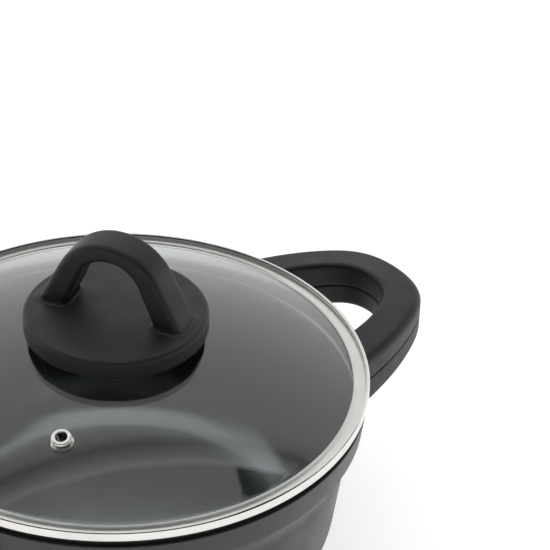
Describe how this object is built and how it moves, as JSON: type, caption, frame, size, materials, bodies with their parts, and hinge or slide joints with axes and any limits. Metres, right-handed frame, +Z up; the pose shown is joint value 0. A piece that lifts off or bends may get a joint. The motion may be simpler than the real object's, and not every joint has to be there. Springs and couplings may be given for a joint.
{
  "type": "cooking pot with glass lid",
  "caption": "Two-handled round cooking pot with a flared collar, soft-touch loop handles and a domed glass lid with a steel rim, steam vent and arched knob.",
  "frame": {"origin": "middle of the base, on the surface the pot stands on", "axes": "+Z up through the knob; +X through the right-hand loop handle, -X through the left-hand one"},
  "size_m": [0.3058, 0.206, 0.1534],
  "materials": {
    "coated_aluminium": "satin dark grey coating outside, darker non-stick coating inside",
    "base_steel": "turned",
    "rim_steel": "bright polished stainless",
    "lid_glass": "clear tempered",
    "soft_touch": "soft-touch matt",
    "silicone": "matt",
    "screw_steel": "zinc plated",
    "brass": "machined"
  },
  "bodies": {
    "pot": {"pot_body": "coated_aluminium", "induction_plate": "base_steel", "handle_right_upper_shell": "soft_touch", "handle_right_lower_shell": "soft_touch", "handle_right_lug_screws": "screw_steel", "handle_right_shell_screws": "screw_steel", "handle_right_inserts": "brass", "handle_left_upper_shell": "soft_touch", "handle_left_lower_shell": "soft_touch", "handle_left_lug_screws": "screw_steel", "handle_left_shell_screws": "screw_steel", "handle_left_inserts": "brass"},
    "lid": {"lid_glass": "lid_glass", "lid_rim": "rim_steel", "vent_eyelet": "rim_steel", "vent_washer": "rim_steel", "knob_grip": "soft_touch", "knob_cover": "soft_touch", "knob_insert": "brass", "knob_seal_above": "silicone", "knob_seal_below": "silicone", "knob_washer": "rim_steel", "knob_screw": "screw_steel"}
  },
  "joints": [
    {"name": "lid_lift", "type": "slide", "parent": "pot", "child": "lid", "axis": [0, 0, 1], "range_m": [0, 0.12]}
  ]
}
